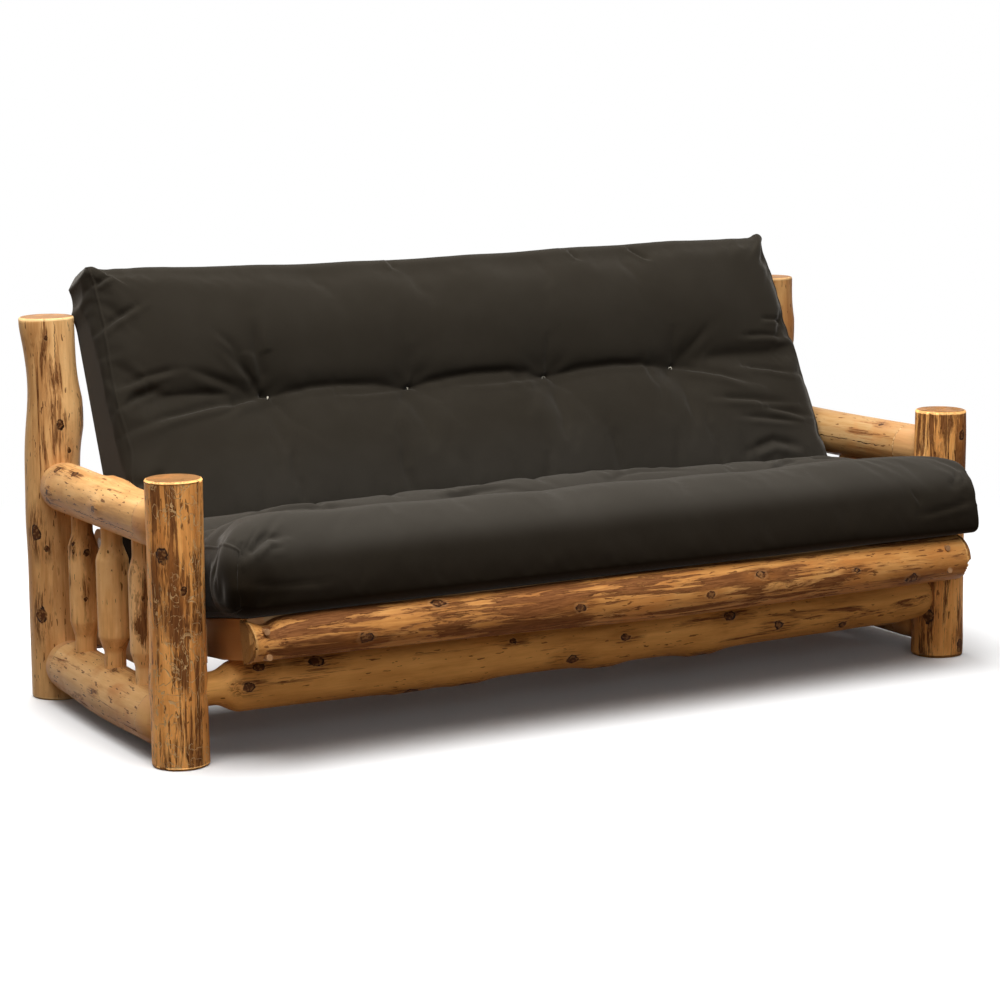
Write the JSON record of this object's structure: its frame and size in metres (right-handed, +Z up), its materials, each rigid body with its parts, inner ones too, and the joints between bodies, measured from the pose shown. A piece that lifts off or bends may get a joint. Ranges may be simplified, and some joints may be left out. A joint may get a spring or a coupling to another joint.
{
  "type": "log futon",
  "caption": "Peeled-log futon sofa that folds flat to a bed: log arms with spindles, slatted seat and back decks, half-log front edge, tufted mattress.",
  "frame": {"origin": "on the floor, under the middle of the whole sofa", "axes": "+Z up, +X along the sofa to the right hand of someone facing it, +Y from the front to the back"},
  "size_m": [2.188, 1.0086, 1.0002],
  "materials": {
    "amber_log": "peeled log under clear satin varnish, amber with brown inner bark",
    "pale_log": "peeled log under clear satin varnish, pale honey with knots",
    "planed_wood": "planed softwood board, clear satin varnish",
    "plug_wood": "turned wooden plug, end grain",
    "zinc_steel": "zinc plated",
    "nylon": "natural nylon",
    "cotton_cover": "brown-black cotton twill"
  },
  "bodies": {
    "frame": {"front_post_left": "amber_log", "front_post_right": "amber_log", "rear_post_left": "pale_log", "rear_post_right": "pale_log", "upper_arm_rail_left": "pale_log", "upper_arm_rail_right": "pale_log", "lower_arm_rail_left": "pale_log", "lower_arm_rail_right": "pale_log", "left_spindle_front": "pale_log", "left_spindle_middle": "pale_log", "left_spindle_rear": "pale_log", "right_spindle_front": "pale_log", "right_spindle_middle": "pale_log", "right_spindle_rear": "pale_log", "front_stretcher": "amber_log", "rear_stretcher": "amber_log", "stretcher_joint_screws": "zinc_steel", "guide_panel_left": "planed_wood", "guide_panel_right": "planed_wood", "guide_panel_screws": "zinc_steel"},
    "seat_deck": {"seat_side_rail_left": "planed_wood", "seat_side_rail_right": "planed_wood", "seat_front_rail": "planed_wood", "seat_rear_rail": "planed_wood", "seat_cross_rail_left": "planed_wood", "seat_cross_rail_right": "planed_wood", "seat_cleats": "planed_wood", "seat_slat_1": "planed_wood", "seat_slat_2": "planed_wood", "seat_slat_3": "planed_wood", "seat_slat_4": "planed_wood", "seat_frame_screws": "zinc_steel", "seat_slat_screws": "zinc_steel", "front_half_log": "amber_log", "half_log_screws": "zinc_steel", "half_log_plugs": "plug_wood", "fold_bolts": "zinc_steel", "fold_nuts": "zinc_steel", "fold_washers": "zinc_steel", "fold_spacers": "zinc_steel", "seat_glides": "nylon", "mattress_seat": "cotton_cover"},
    "back_deck": {"back_side_rail_left": "planed_wood", "back_side_rail_right": "planed_wood", "back_bottom_rail": "planed_wood", "back_top_rail": "planed_wood", "back_cross_rail_left": "planed_wood", "back_cross_rail_right": "planed_wood", "back_cleats": "planed_wood", "back_slat_1": "planed_wood", "back_slat_2": "planed_wood", "back_slat_3": "planed_wood", "back_slat_4": "planed_wood", "back_slat_5": "planed_wood", "back_frame_screws": "zinc_steel", "back_slat_screws": "zinc_steel", "guide_pins": "zinc_steel", "pin_spacers": "zinc_steel", "back_glides": "nylon"},
    "upper_mattress": {"mattress_back": "cotton_cover"}
  },
  "joints": [
    {"name": "seat_slide", "type": "hinge", "parent": "frame", "child": "seat_deck", "pos_m": [0, -0.48951, -1.95338], "axis": [1, 0, 0], "range_deg": [0, 10]},
    {"name": "back_fold", "type": "hinge", "parent": "seat_deck", "child": "back_deck", "pos_m": [0, 0.17521, 0.17702], "axis": [1, 0, 0], "range_deg": [-76.4, 0]},
    {"name": "mattress_fold", "type": "hinge", "parent": "seat_deck", "child": "upper_mattress", "pos_m": [0, 0.11219, 0.29455], "axis": [1, 0, 0], "range_deg": [-76.4, 0]}
  ],
  "couplings": [
    {"joint": "back_fold", "follows": "seat_slide", "ratio": -7.64},
    {"joint": "mattress_fold", "follows": "seat_slide", "ratio": -7.64}
  ]
}
